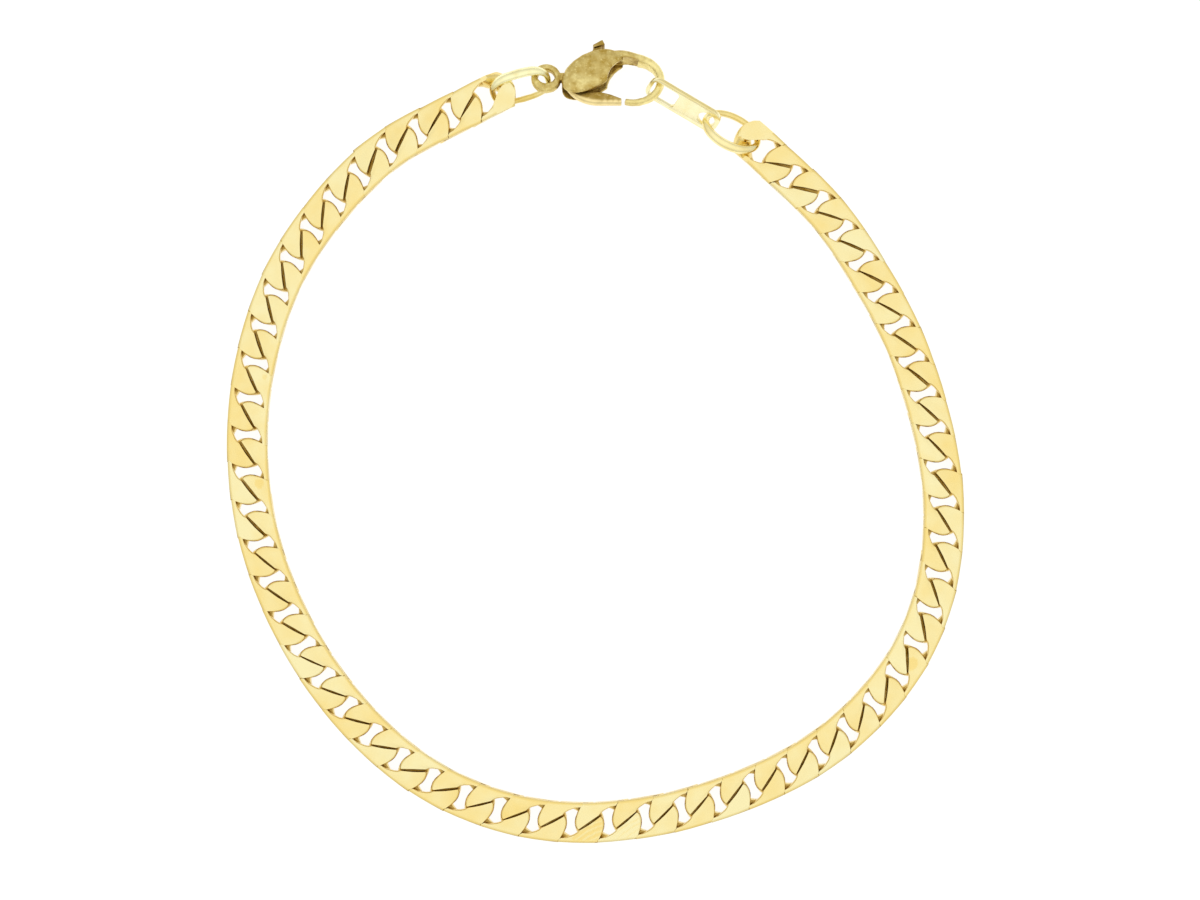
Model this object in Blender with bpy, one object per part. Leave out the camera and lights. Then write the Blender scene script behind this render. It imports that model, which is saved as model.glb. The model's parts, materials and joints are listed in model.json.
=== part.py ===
"""Flat curb link bracelet in its loop, with a lobster clasp, a connector, an end tag and a jump ring.

Metres, +Z up. The loop lies on z = 0. +Y points from the middle of the loop to the clasp.
"""
import math

import bmesh
import bpy
from mathutils import Matrix, Vector

MM = 0.001

# Clearance between pieces that move against each other
CLEARANCE = 0.3 * MM

# Curb chain
LINK_PITCH = 3.12 * MM
WIRE_DIAMETER = 1.18 * MM
CHAIN_WIDTH = 3.36 * MM
CHAIN_THICKNESS = 1.2 * MM
LINK_TWIST = math.radians(50)
CONTACT_DEPTH = 0.15 * MM
END_HEIGHT = 1.4 * MM
LIFT_LENGTH = 12.5 * MM
LINK_SEGMENTS = 12
WIRE_SIDES = 6

# Middle line of the chain, from the link beside the connector round to the link that holds the jump ring
ROUTE_POINTS = [
    (-9.2, 29.1), (-18.74, 23.82), (-26.28, 14.34), (-29.42, 2.59), (-28.24, -9.21),
    (-23.0, -20.1), (-14.83, -28.17), (-4.43, -32.01), (7.62, -31.07), (19.37, -25.89),
    (27.0, -17.2), (29.44, -6.07), (26.84, 6.71), (20.75, 17.86), (14.06, 24.63),
]
ROUTE_UNIT = 1.0 * MM
ROUTE_STEPS = 40

# How far the links are slid along the route, at equal shares of its length
LINK_SLIDES = [0.33, 0.08, -0.2, -0.28, -0.1, 0.09, 0.19, 0.02, -0.1, -0.19]

# Clasp, measured from the lever's pin: first number along the clasp, second across it
CLASP_PLACE = (-1.44 * MM, 30.2 * MM)
CLASP_ROLL = math.radians(18)
HOUSING_LENGTH = 5.74 * MM
HOUSING_RISE = 1.8 * MM
HOUSING_DROP = 1.38 * MM
HOUSING_THICKNESS = 2.4 * MM
HOUSING_LEAN = math.radians(31)
HOUSING_FROM_PIN = (1.18 * MM, 0.71 * MM)
PIN_DIAMETER = 0.42 * MM
PIN_SINK = 0.08 * MM
WEB_THICKNESS = 0.4 * MM
SLOT_SHOULDER = 1.08 * MM
SLOT_TOP = 1.9 * MM
MOUTH_INSET = 0.15 * MM
MOUTH_DROP = 0.3 * MM

# Hook of the clasp, swept along an oval
HOOK_FROM_PIN = (4.56 * MM, 0.19 * MM)
HOOK_LENGTH = 4.64 * MM
HOOK_HEIGHT = 3.9 * MM
HOOK_ROOT_WIDTH = 1.0 * MM
HOOK_ROOT_THICKNESS = 2.2 * MM
HOOK_TIP_WIDTH = 0.46 * MM
HOOK_TIP_THICKNESS = 0.8 * MM
HOOK_ROUNDNESS = 0.8
HOOK_START = math.radians(138)
HOOK_END = math.radians(-107)

# Eye of the clasp and the neck that joins it to the housing
EYE_BORE = 1.4 * MM
EYE_WALL = 0.58 * MM
EYE_THICKNESS = 0.8 * MM
EYE_GAP = 0.1 * MM
EYE_ABOVE_PIN = 0.44 * MM
NECK_HEIGHT = 0.7 * MM
NECK_BELOW_EYE = 0.28 * MM
NECK_THICKNESS = 0.7 * MM

# Lever of the clasp
LEVER_THICKNESS = 0.84 * MM
BOSS_WALL = 0.22 * MM
GATE_CENTRE = (1.7 * MM, 0.36 * MM)
GATE_INSET = 0.08 * MM
GATE_RIM = 0.3 * MM
GATE_WIDTH = 1.05 * MM
GATE_TIP = 0.45 * MM
ARM_WIDTH = 0.5 * MM
ARM_THICKNESS = 0.78 * MM
TAB_LENGTH = 0.85 * MM
TAB_HEIGHT = 0.5 * MM
TAB_END_HEIGHT = 0.35 * MM
TAB_WIDTH = 1.3 * MM
TAB_LIFT = 0.6 * MM
TAB_ANGLE = math.radians(64)
LEVER_SWING = math.radians(22)

# Connector between the first link and the eye
CONNECTOR_WIRE = 0.54 * MM
CONNECTOR_WIDTH = 3.3 * MM
CONNECTOR_TILT = math.radians(45)
CONNECTOR_SQUARENESS = 2.3

# End tag on the hook
TAG_LENGTH = 6.8 * MM
TAG_WIDTH = 2.56 * MM
TAG_THICKNESS = 0.4 * MM
TAG_BAR = 0.36 * MM
TAG_WINDOW = 2.4 * MM
TAG_CORNER = 0.9 * MM
WINDOW_CORNER = 0.37 * MM
TAG_BORE = 1.5 * MM
TAG_RAISE = 0.15 * MM
TAG_TILT = math.radians(53)
TAG_DIRECTION = math.radians(-30)
TAG_HOOK_ANGLE = math.radians(-7)

# Jump ring between the tag and the last link
RING_WIRE = 0.6 * MM
RING_WIDTH = 3.92 * MM
RING_TILT = math.radians(-38)

UP = Vector((0, 0, 1))


def make_material(name, colour, roughness):
    material = bpy.data.materials.new(name)
    material.use_nodes = True
    shader = material.node_tree.nodes["Principled BSDF"]
    shader.inputs["Base Color"].default_value = (*colour, 1)
    shader.inputs["Metallic"].default_value = 1
    shader.inputs["Roughness"].default_value = roughness
    return material


def add_object(name, mesh, material=None):
    obj = bpy.data.objects.new(name, mesh)
    bpy.context.scene.collection.objects.link(obj)
    if material:
        obj.data.materials.clear()
        obj.data.materials.append(material)
        obj.data.shade_smooth()
        obj.data.set_sharp_from_angle(angle=math.radians(35))
    return obj


def loft(sections, closed=False):
    """A closed mesh through equal sections, either round in a loop or with flat ends."""
    bm = bmesh.new()
    rings = [[bm.verts.new(point) for point in section] for section in sections]
    sides = len(rings[0])
    for i in range(len(rings) if closed else len(rings) - 1):
        this, following = rings[i], rings[(i + 1) % len(rings)]
        for k in range(sides):
            after = (k + 1) % sides
            bm.faces.new((this[k], this[after], following[after], following[k]))
    if not closed:
        bm.faces.new(rings[0])
        bm.faces.new(rings[-1])
    bmesh.ops.recalc_face_normals(bm, faces=bm.faces)
    mesh = bpy.data.meshes.new("loft")
    bm.to_mesh(mesh)
    bm.free()
    return mesh


def prism(outline, thickness):
    """A flat plate with the given outline, centred on z = 0."""
    half = thickness / 2
    return loft([[Vector((x, y, z)) for x, y in outline] for z in (-half, half)])


def disc(centre, radius, thickness, sides):
    angles = [math.tau * k / sides for k in range(sides)]
    x, y = centre
    return prism([(x + radius * math.cos(a), y + radius * math.sin(a)) for a in angles], thickness)


def merged(meshes):
    bm = bmesh.new()
    for mesh in meshes:
        bm.from_mesh(mesh)
    whole = bpy.data.meshes.new("merged")
    bm.to_mesh(whole)
    bm.free()
    return whole


def combine(first, second, operation):
    """A new mesh of the two, with the operation's name in capitals as Blender gives it."""
    base = add_object("base", first)
    other = add_object("other", second)
    boolean = base.modifiers.new("combine", "BOOLEAN")
    boolean.operation = operation
    boolean.solver = "EXACT"
    boolean.object = other
    result = bpy.data.meshes.new_from_object(base.evaluated_get(bpy.context.evaluated_depsgraph_get()))
    for obj in (base, other):
        bpy.data.objects.remove(obj, do_unlink=True)
    return result


def turned(vector, angle):
    """A plane vector turned about z."""
    x, y = vector
    return (x * math.cos(angle) - y * math.sin(angle), x * math.sin(angle) + y * math.cos(angle))


def signed_power(value, power):
    return math.copysign(abs(value) ** power, value)


# Reach of a link's middle line and of its tip, so that each link just touches the wires of its neighbours
LINK_REACH = (LINK_PITCH + WIRE_DIAMETER - CONTACT_DEPTH) / 2
LINK_TIP = LINK_REACH + WIRE_DIAMETER / 2


# Route of the chain
def smooth_route():
    points = [Vector((x, y, 0)) * ROUTE_UNIT for x, y in ROUTE_POINTS]
    points = [2 * points[0] - points[1]] + points + [2 * points[-1] - points[-2]]
    route = []
    for before, start, end, after in zip(points, points[1:], points[2:], points[3:]):
        for step in range(ROUTE_STEPS):
            t = step / ROUTE_STEPS
            route.append(0.5 * (2 * start + (end - before) * t
                                + (2 * before - 5 * start + 4 * end - after) * t ** 2
                                + (3 * start - before - 3 * end + after) * t ** 3))
    return route + [points[-2]]


def slide(share):
    """How far the link at a share of the route is slid along it."""
    place = share * (len(LINK_SLIDES) - 1)
    k = min(int(place), len(LINK_SLIDES) - 2)
    return (LINK_SLIDES[k] + (LINK_SLIDES[k + 1] - LINK_SLIDES[k]) * (place - k)) * ROUTE_UNIT


def link_frames():
    """One matrix for each link: x along the chain, y to the inside of the loop, z up."""
    route = smooth_route()
    travelled = [0]
    for a, b in zip(route, route[1:]):
        travelled.append(travelled[-1] + (b - a).length)
    length = travelled[-1]
    count = round(length / LINK_PITCH) + 1

    def centre(distance):
        distance = min(max(distance, 0), length)
        k = next(i for i in range(1, len(route)) if travelled[i] >= distance)
        share = (distance - travelled[k - 1]) / (travelled[k] - travelled[k - 1])
        point = route[k - 1].lerp(route[k], share)
        near_end = 1 - min(distance, length - distance, LIFT_LENGTH) / LIFT_LENGTH
        rise = near_end ** 2 * (3 - 2 * near_end)
        return point + UP * (CHAIN_THICKNESS / 2 + (END_HEIGHT - CHAIN_THICKNESS / 2) * rise)

    frames = []
    for i in range(count):
        share = i / (count - 1)
        distance = length * share + slide(share)
        before, after = centre(distance - LINK_TIP), centre(distance + LINK_TIP)
        middle = centre(distance)
        middle.z = max(middle.z, (before.z + after.z) / 2)
        along = (after - before).normalized()
        inward = UP.cross(along).normalized()
        frames.append(frame_matrix(middle, along, inward))
    return frames


def frame_matrix(place, x_axis, y_axis):
    return Matrix.Translation(place) @ Matrix((x_axis, y_axis, x_axis.cross(y_axis))).transposed().to_4x4()


def clamp(value, limit):
    return min(max(value, -limit), limit)


def link_mesh():
    """A twisted oval of round wire, ground flat on its faces and its sides."""
    def middle(t):
        x = LINK_REACH * math.cos(t)
        across = CHAIN_WIDTH / 2 * math.sin(t)
        twist = -LINK_TWIST * x / LINK_REACH
        return Vector((x, across * math.cos(twist), across * math.sin(twist)))

    sections = []
    for i in range(LINK_SEGMENTS):
        t = math.tau * i / LINK_SEGMENTS
        step = math.pi / LINK_SEGMENTS
        tangent = (middle(t + step) - middle(t - step)).normalized()
        twist = -LINK_TWIST * math.cos(t)
        outward = tangent.cross(Vector((0, -math.sin(twist), math.cos(twist)))).normalized()
        upward = outward.cross(tangent)
        section = []
        for k in range(WIRE_SIDES):
            angle = math.tau * k / WIRE_SIDES
            point = middle(t) + (outward * math.cos(angle) + upward * math.sin(angle)) * WIRE_DIAMETER / 2
            point.y = clamp(point.y, CHAIN_WIDTH / 2)
            point.z = clamp(point.z, CHAIN_THICKNESS / 2)
            section.append(point)
        sections.append(section)
    return loft(sections, closed=True)


def placed(mesh, matrix):
    copy = mesh.copy()
    copy.transform(matrix)
    return copy


def oval_link(start, end, width, tilt, wire, squareness=2.0, segments=16, sides=6):
    """A wire oval from one hooking point to the other, leaning about its long axis."""
    along = (end - start).normalized()
    flat = UP.cross(along).normalized()
    across = flat * math.cos(tilt) + along.cross(flat) * math.sin(tilt)
    normal = along.cross(across)
    reach = (end - start).length / 2
    side = (width - wire) / 2

    def middle(t):
        x = reach * signed_power(math.cos(t), 2 / squareness)
        y = side * signed_power(math.sin(t), 2 / squareness)
        return (start + end) / 2 + along * x + across * y

    sections = []
    for i in range(segments):
        t = math.tau * i / segments
        tangent = (middle(t + math.pi / segments) - middle(t - math.pi / segments)).normalized()
        outward = tangent.cross(normal)
        angles = [math.tau * k / sides for k in range(sides)]
        spokes = [outward * math.cos(a) + normal * math.sin(a) for a in angles]
        sections.append([middle(t) + spoke * wire / 2 for spoke in spokes])
    return loft(sections, closed=True)


# Shares of the housing's outline and of its half thickness, from its back to its front
PEBBLE = [
    (0.45, -1.0), (0.8, -0.93), (0.96, -0.8), (1.0, -0.62),
    (1.0, 0.62), (0.96, 0.8), (0.8, 0.93), (0.45, 1.0),
]
PEBBLE_SIDES = 24


def housing_mesh():
    sections = []
    for share, height in PEBBLE:
        section = []
        for k in range(PEBBLE_SIDES):
            angle = math.tau * k / PEBBLE_SIDES
            depth = HOUSING_RISE if angle < math.pi else HOUSING_DROP
            oval = (HOUSING_LENGTH / 2 * share * math.cos(angle), depth * share * math.sin(angle))
            x, y = turned(oval, HOUSING_LEAN)
            place = (HOUSING_FROM_PIN[0] + x, HOUSING_FROM_PIN[1] + y, HOUSING_THICKNESS / 2 * height)
            section.append(Vector(place))
        sections.append(section)
    return loft(sections)


HOUSING_SPAN = math.hypot(HOUSING_LENGTH / 2 * math.cos(HOUSING_LEAN),
                          HOUSING_DROP * math.sin(HOUSING_LEAN))
HOUSING_LEFT = HOUSING_FROM_PIN[0] - HOUSING_SPAN
EYE_PLACE = (HOUSING_LEFT - EYE_GAP - EYE_WALL - EYE_BORE / 2, EYE_ABOVE_PIN)
NECK_BOTTOM = EYE_PLACE[1] - NECK_BELOW_EYE
BOSS_RADIUS = PIN_DIAMETER / 2 + CLEARANCE + BOSS_WALL
SLOT_WIDTH = LEVER_THICKNESS + 2 * CLEARANCE


def hook_point(angle):
    return Vector((HOOK_FROM_PIN[0] + HOOK_LENGTH / 2 * math.cos(angle),
                   HOOK_FROM_PIN[1] + HOOK_HEIGHT / 2 * math.sin(angle), 0))


def hook_size(angle):
    """Width in the clasp's plane and thickness across it at an angle of the hook's oval."""
    share = (HOOK_START - angle) / (HOOK_START - HOOK_END)
    width = HOOK_ROOT_WIDTH + (HOOK_TIP_WIDTH - HOOK_ROOT_WIDTH) * share
    thickness = HOOK_TIP_THICKNESS + (HOOK_ROOT_THICKNESS - HOOK_TIP_THICKNESS) * (1 - share) ** 2
    return width, thickness


def hook_mesh(segments=18, sides=8):
    sections = []
    for i in range(segments + 1):
        angle = HOOK_START + (HOOK_END - HOOK_START) * i / segments
        width, thickness = hook_size(angle)
        outward = Vector((math.cos(angle) / HOOK_LENGTH, math.sin(angle) / HOOK_HEIGHT, 0)).normalized()
        section = []
        for k in range(sides):
            turn = math.tau * (k + 0.5) / sides
            across = signed_power(math.cos(turn), HOOK_ROUNDNESS) * width / 2
            rise = signed_power(math.sin(turn), HOOK_ROUNDNESS) * thickness / 2
            section.append(hook_point(angle) + outward * across + UP * rise)
        sections.append(section)
    return loft(sections)


def eye_mesh(segments=14):
    """A flat ring with a rounded wall."""
    sections = []
    for i in range(segments):
        angle = math.tau * i / segments
        outward = Vector((math.cos(angle), math.sin(angle), 0))
        middle = Vector((*EYE_PLACE, 0)) + outward * (EYE_BORE + EYE_WALL) / 2
        shape = [(-0.5, -0.3), (0, -0.5), (0.5, -0.3), (0.5, 0.3), (0, 0.5), (-0.5, 0.3)]
        sections.append([middle + outward * EYE_WALL * a + UP * EYE_THICKNESS * b for a, b in shape])
    return loft(sections, closed=True)


def neck_mesh():
    left = EYE_PLACE[0] + EYE_BORE / 2 + EYE_WALL / 3
    right = HOUSING_LEFT + WEB_THICKNESS + CLEARANCE
    top = NECK_BOTTOM + NECK_HEIGHT
    return prism([(left, NECK_BOTTOM), (right, NECK_BOTTOM), (right, top), (left, top)], NECK_THICKNESS)


def slot_mesh():
    """The space between the two walls in which the lever lies and swings."""
    left = HOUSING_LEFT + WEB_THICKNESS
    below = -2 * HOUSING_RISE
    roof = HOOK_FROM_PIN[1] + HOOK_HEIGHT / 2
    above = roof + HOUSING_RISE
    margin = ARM_WIDTH / 2 + CLEARANCE
    tab_left = roof / math.tan(TAB_ANGLE + LEVER_SWING) - margin
    mouth_left = hook_point(HOOK_END).x - CLEARANCE

    def beside_arm(height):
        return height / math.tan(TAB_ANGLE) + margin / math.sin(TAB_ANGLE)

    outline = [(left, SLOT_SHOULDER), (left, NECK_BOTTOM), (HOUSING_LEFT, NECK_BOTTOM - CLEARANCE),
               (HOUSING_LEFT - CLEARANCE, NECK_BOTTOM - 3 * CLEARANCE), (HOUSING_LEFT - CLEARANCE, below),
               (mouth_left, below), (mouth_left, 0), (HOOK_FROM_PIN[0], SLOT_TOP),
               (HOOK_FROM_PIN[0], roof), (beside_arm(roof), roof), (beside_arm(above), above),
               (tab_left, above), (tab_left, SLOT_TOP)]
    return prism(outline, SLOT_WIDTH)


def mouth_mesh(sides=24):
    """The oval space inside the hook, which hollows the right side of the housing."""
    reach = HOOK_LENGTH / 2 - MOUTH_INSET
    depth = HOOK_HEIGHT / 2 + MOUTH_INSET
    outline = []
    for k in range(sides):
        angle = math.tau * k / sides
        outline.append((HOOK_FROM_PIN[0] + reach * math.cos(angle),
                        HOOK_FROM_PIN[1] - MOUTH_DROP + depth * math.sin(angle)))
    return prism(outline, HOUSING_THICKNESS * 2)


def tab_place():
    height = HOOK_FROM_PIN[1] + HOOK_HEIGHT / 2 + HOOK_ROOT_WIDTH / 2 + TAB_LIFT + TAB_HEIGHT / 2
    return (height / math.tan(TAB_ANGLE), height)


def clasp_body_mesh():
    body = combine(housing_mesh(), mouth_mesh(), "DIFFERENCE")
    body = combine(body, hook_mesh(), "UNION")
    body = combine(body, neck_mesh(), "UNION")
    body = combine(body, eye_mesh(), "UNION")
    body = combine(body, slot_mesh(), "DIFFERENCE")
    pin = disc((0, 0), PIN_DIAMETER / 2, HOUSING_THICKNESS - 2 * PIN_SINK, 10)
    return combine(body, pin, "UNION")


def ribbon(points, widths, thickness):
    """A flat bar of changing width along points in the clasp's plane."""
    sections = []
    for i, point in enumerate(points):
        before = points[max(i - 1, 0)]
        after = points[min(i + 1, len(points) - 1)]
        side = UP.cross((after - before).normalized()) * widths[i] / 2
        half = UP * thickness / 2
        left, right = point + side, point - side
        sections.append([right - half, left - half, left + half, right + half])
    return loft(sections)


def band(outer, widths, thickness):
    """A flat crescent: its outer edge runs along the given points, its width lies to their left."""
    sections = []
    for i, point in enumerate(outer):
        before = outer[max(i - 1, 0)]
        after = outer[min(i + 1, len(outer) - 1)]
        inner = point + UP.cross((after - before).normalized()) * widths[i]
        half = UP * thickness / 2
        sections.append([point - half, inner - half, inner + half, point + half])
    return loft(sections)


def gate_edge(steps=9):
    """Outer edge and widths of the crescent that closes the mouth, from beside the neck to the hook's tip."""
    bottom = HOOK_FROM_PIN[1] - HOOK_HEIGHT / 2 - HOOK_TIP_WIDTH / 2
    centre = Vector((*GATE_CENTRE, 0))
    reach = centre.x - HOUSING_LEFT - GATE_INSET
    depth = centre.y - bottom
    start, end = math.radians(200), math.radians(270)
    outer, widths = [], []
    for i in range(steps):
        share = i / (steps - 1)
        angle = start + (end - start) * share
        outer.append(centre + Vector((reach * math.cos(angle), depth * math.sin(angle), 0)))
        widths.append(GATE_RIM + (GATE_WIDTH - GATE_RIM) * math.sin(share * math.pi / 2))
    outer.append(Vector((hook_point(HOOK_END).x - CLEARANCE, bottom, 0)))
    widths.append(GATE_TIP)
    return outer, widths


def lever_mesh():
    outer, widths = gate_edge()
    gate = band(outer, widths, LEVER_THICKNESS)
    boss = disc((0, 0), BOSS_RADIUS, LEVER_THICKNESS, 16)
    near, rim = min(zip(outer, widths), key=lambda pair: pair[0].length)
    foot = near * (1 - rim / 2 / near.length)
    tab_x, tab_y = tab_place()
    top = Vector((tab_x, tab_y, 0))
    reach = Vector((TAB_LENGTH / 2, 0, 0))
    arm = ribbon([foot, Vector((0, 0, 0)), top], [ARM_WIDTH] * 3, ARM_THICKNESS)
    tab = ribbon([top - reach, top + reach], [TAB_END_HEIGHT, TAB_HEIGHT], TAB_WIDTH)
    lever = combine(gate, boss, "UNION")
    lever = combine(lever, arm, "UNION")
    lever = combine(lever, tab, "UNION")
    return combine(lever, disc((0, 0), PIN_DIAMETER / 2 + CLEARANCE, LEVER_THICKNESS * 2, 14), "DIFFERENCE")


def lowest(mesh, matrix):
    return min((matrix @ vertex.co).z for vertex in mesh.vertices)


def rounded_outline(start, end, half, corner, steps=3):
    """A rectangle along x with round corners."""
    outline = []
    for x, y, turn in ((end - corner, half - corner, 0), (start + corner, half - corner, 1),
                       (start + corner, corner - half, 2), (end - corner, corner - half, 3)):
        for step in range(steps + 1):
            angle = math.pi / 2 * (turn + step / steps)
            outline.append((x + corner * math.cos(angle), y + corner * math.sin(angle)))
    return outline


def tag_mesh():
    """A flat plate with round ends, a long window at one end and a round hole at the other."""
    half = TAG_WIDTH / 2
    plate = prism(rounded_outline(0, TAG_LENGTH, half, TAG_CORNER), TAG_THICKNESS)
    window = rounded_outline(TAG_BAR, TAG_BAR + TAG_WINDOW, half - TAG_BAR, WINDOW_CORNER)
    plate = combine(plate, prism(window, TAG_THICKNESS * 3), "DIFFERENCE")
    bore = disc((TAG_LENGTH - TAG_BAR - TAG_BORE / 2, 0), TAG_BORE / 2, TAG_THICKNESS * 3, 14)
    return combine(plate, bore, "DIFFERENCE")


def centre_on_origin():
    """Hangs all pieces from one empty, placed so that their box stands on z = 0 over the origin."""
    bpy.context.view_layer.update()
    pieces = list(bpy.data.objects)
    corners = [piece.matrix_world @ vertex.co for piece in pieces for vertex in piece.data.vertices]
    low = Vector([min(corner[axis] for corner in corners) for axis in range(3)])
    high = Vector([max(corner[axis] for corner in corners) for axis in range(3)])
    bracelet = bpy.data.objects.new("bracelet", None)
    bpy.context.scene.collection.objects.link(bracelet)
    for piece in pieces:
        piece.parent = bracelet
    bracelet.location = (-(low.x + high.x) / 2, -(low.y + high.y) / 2, -low.z)
    bpy.context.view_layer.update()


def build():
    for obj in list(bpy.data.objects):
        bpy.data.objects.remove(obj, do_unlink=True)

    chain_gold = make_material("pale_polished_gold", (0.86, 0.70, 0.36), 0.18)
    clasp_gold = make_material("worn_cast_gold", (0.58, 0.42, 0.16), 0.38)
    lever_gold = make_material("lever_gold", (0.62, 0.46, 0.2), 0.34)
    tag_gold = make_material("bright_tag_gold", (0.9, 0.78, 0.46), 0.22)
    ring_gold = make_material("jump_ring_gold", (0.84, 0.64, 0.26), 0.2)
    connector_gold = make_material("connector_gold", (0.86, 0.74, 0.42), 0.22)

    frames = link_frames()
    link = link_mesh()
    odd = merged([placed(link, frame) for frame in frames[::2]])
    even = merged([placed(link, frame) for frame in frames[1::2]])
    add_object("curb_chain", combine(odd, even, "UNION"), chain_gold)

    body = clasp_body_mesh()
    roll = Matrix.Rotation(-CLASP_ROLL, 4, "X")
    clasp = Matrix.Translation((*CLASP_PLACE, -lowest(body, roll))) @ roll
    clasp_body = add_object("clasp_body", body, clasp_gold)
    clasp_body.matrix_world = clasp
    lever = add_object("clasp_lever", lever_mesh(), lever_gold)
    lever.matrix_world = clasp

    # Hooking points inside the first and last links, clear of their ends
    room = LINK_REACH - WIRE_DIAMETER / 2 - CLEARANCE
    first_hold = frames[0] @ Vector((-(room - CONNECTOR_WIRE / 2), 0, 0))
    last_hold = frames[-1] @ Vector((room - RING_WIRE / 2, 0, 0))

    eye_room = EYE_BORE / 2 - CLEARANCE - CONNECTOR_WIRE / 2
    eye_hold = clasp @ Vector((EYE_PLACE[0] + eye_room, EYE_PLACE[1], 0))
    connector = oval_link(first_hold, eye_hold, CONNECTOR_WIDTH, CONNECTOR_TILT, CONNECTOR_WIRE,
                           CONNECTOR_SQUARENESS)
    add_object("connector_link", connector, connector_gold)

    # The tag hangs with the bar of its window just inside the hook
    width, _ = hook_size(TAG_HOOK_ANGLE)
    inside = hook_point(TAG_HOOK_ANGLE) - Vector((width / 2 + CLEARANCE + TAG_BAR, 0, 0))
    tag_start = clasp @ inside + UP * TAG_RAISE
    drop = (tag_start.z - END_HEIGHT) / TAG_LENGTH
    along = Vector((math.cos(TAG_DIRECTION), math.sin(TAG_DIRECTION), -drop)).normalized()
    flat = UP.cross(along).normalized()
    across = flat * math.cos(TAG_TILT) + along.cross(flat) * math.sin(TAG_TILT)
    tag = add_object("end_tag", tag_mesh(), tag_gold)
    tag.matrix_world = frame_matrix(tag_start, along, across)

    tag_hold = tag_start + along * (TAG_LENGTH - TAG_BAR - TAG_BORE / 2)
    ring = oval_link(tag_hold, last_hold, RING_WIDTH, RING_TILT, RING_WIRE)
    add_object("jump_ring", ring, ring_gold)
    centre_on_origin()


build()
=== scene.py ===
"""Curb link bracelet in its loop: chain, clasp, connector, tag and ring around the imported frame."""

import json
import math
import random

import bmesh
import bpy
from mathutils import Matrix, Vector, noise
from mathutils.bvhtree import BVHTree


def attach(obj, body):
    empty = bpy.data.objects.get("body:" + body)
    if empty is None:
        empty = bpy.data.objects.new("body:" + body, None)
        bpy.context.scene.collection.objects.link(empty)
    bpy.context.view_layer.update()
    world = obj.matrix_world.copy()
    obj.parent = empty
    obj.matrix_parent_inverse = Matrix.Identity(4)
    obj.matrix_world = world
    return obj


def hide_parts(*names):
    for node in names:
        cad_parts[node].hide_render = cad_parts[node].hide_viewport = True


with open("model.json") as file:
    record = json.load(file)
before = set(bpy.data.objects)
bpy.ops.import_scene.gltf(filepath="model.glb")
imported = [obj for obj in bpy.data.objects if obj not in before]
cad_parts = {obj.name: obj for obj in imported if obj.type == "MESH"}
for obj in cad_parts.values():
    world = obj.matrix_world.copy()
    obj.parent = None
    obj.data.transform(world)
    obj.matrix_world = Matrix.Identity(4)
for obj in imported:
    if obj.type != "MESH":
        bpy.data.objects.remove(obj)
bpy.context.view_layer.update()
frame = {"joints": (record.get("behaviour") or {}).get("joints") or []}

# Everything is modelled in millimetres and scaled once, when a piece is added
MM = 0.001
UP = Vector((0, 0, 1))
CLEARANCE = 0.3
TOLERANCE = 0.001
CENTRING = Vector((0.0381, -0.0169, 0))

# Curb chain
LINK_PITCH = 3.12
CHAIN_WIDTH = 3.36
CHAIN_THICKNESS = 1.2
END_HEIGHT = 1.4
LIFT_LENGTH = 12.5
ROUTE_POINTS = [
    (-9.2, 29.1), (-18.74, 23.82), (-26.28, 14.34), (-29.42, 2.59), (-28.24, -9.21),
    (-23.0, -20.1), (-14.83, -28.17), (-4.43, -32.01), (7.62, -31.07), (19.37, -25.89),
    (27.0, -17.2), (29.44, -6.07), (26.84, 6.71), (20.75, 17.86), (14.06, 24.63),
]
ROUTE_STEPS = 40

# How far the links are slid along the route, at equal shares of its length
LINK_SLIDES = [0.33, 0.08, -0.2, -0.28, -0.1, 0.09, 0.19, 0.02, -0.1, -0.19]

# Plain round link of the solids: it sets how the links lean where the chain rises, and where the ends hook
PLAIN_WIRE = 1.18
PLAIN_CONTACT = 0.15
PLAIN_REACH = (LINK_PITCH + PLAIN_WIRE - PLAIN_CONTACT) / 2

# Wire of one link: its oval, its twist, and its half width and half height at the tips and the sides. The two
# powers say how fast the wire swells at its shoulders and grows taller towards its sides.
LINK_REACH = 2.18
LINK_HALF_WIDTH = 1.69
LINK_TWIST = math.radians(50)
TIP_RADIUS = 0.634
SIDE_RADIUS = 0.55
SIDE_HALF_HEIGHT = 1.1
SHOULDER_SWELL = 0.2
SHOULDER_POWER = 1.5
SIDE_POWER = 0.7
LINK_STEPS = 64
WIRE_SIDES = 24
TURN_STEP = 0.02
NATURAL_SCALE = 0.995

# Upper face at a link's front end: its outline, straight along the slit, and how wide its rounded rim is
FACE_OUTLINE = [
    (-0.77, -1.3, 0.03), (-0.34, -1.26, 0.05), (-0.04, -1.13, 0.08), (0.3, -0.98, 0.1), (0.54, -0.81, 0.1),
    (0.74, -0.59, 0.05), (1.17, -0.34, 0.04), (1.61, -0.07, 0.04), (2.04, 0.22, 0.04), (2.46, 0.53, 0.06),
    (2.6, 0.54, 0.12), (2.73, 0.42, 0.18), (2.81, 0.17, 0.2), (2.84, -0.09, 0.2), (2.8, -0.4, 0.18),
    (2.7, -0.72, 0.15), (2.57, -1.0, 0.1), (2.46, -1.17, 0.06), (2.38, -1.3, 0.03), (2.32, -1.42, 0.02),
    (2.22, -1.76, 0.32), (1.2, -1.76, 0.32), (0.2, -1.76, 0.32), (-1.03, -1.76, 0.32), (-0.87, -1.41, 0.02),
]
FACE_ROUNDING = [(0, 0.16), (0.35, 0.06), (0.7, 0.015), (1, 0)]
FACE_FLOOR = 0.03
FACE_UNDERSIDE = 0.15
FACE_SLOPE = 0.3
GROUND_SKIN = 0.01
CUTTER_MARGIN = 1
FREE_END = 0.5
FREE_CORNER = [(1.7, -1.9), (2.9, -1.9), (2.9, -0.9), (2.52, -1.12), (2.3, -1.38), (2.05, -1.58)]
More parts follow.
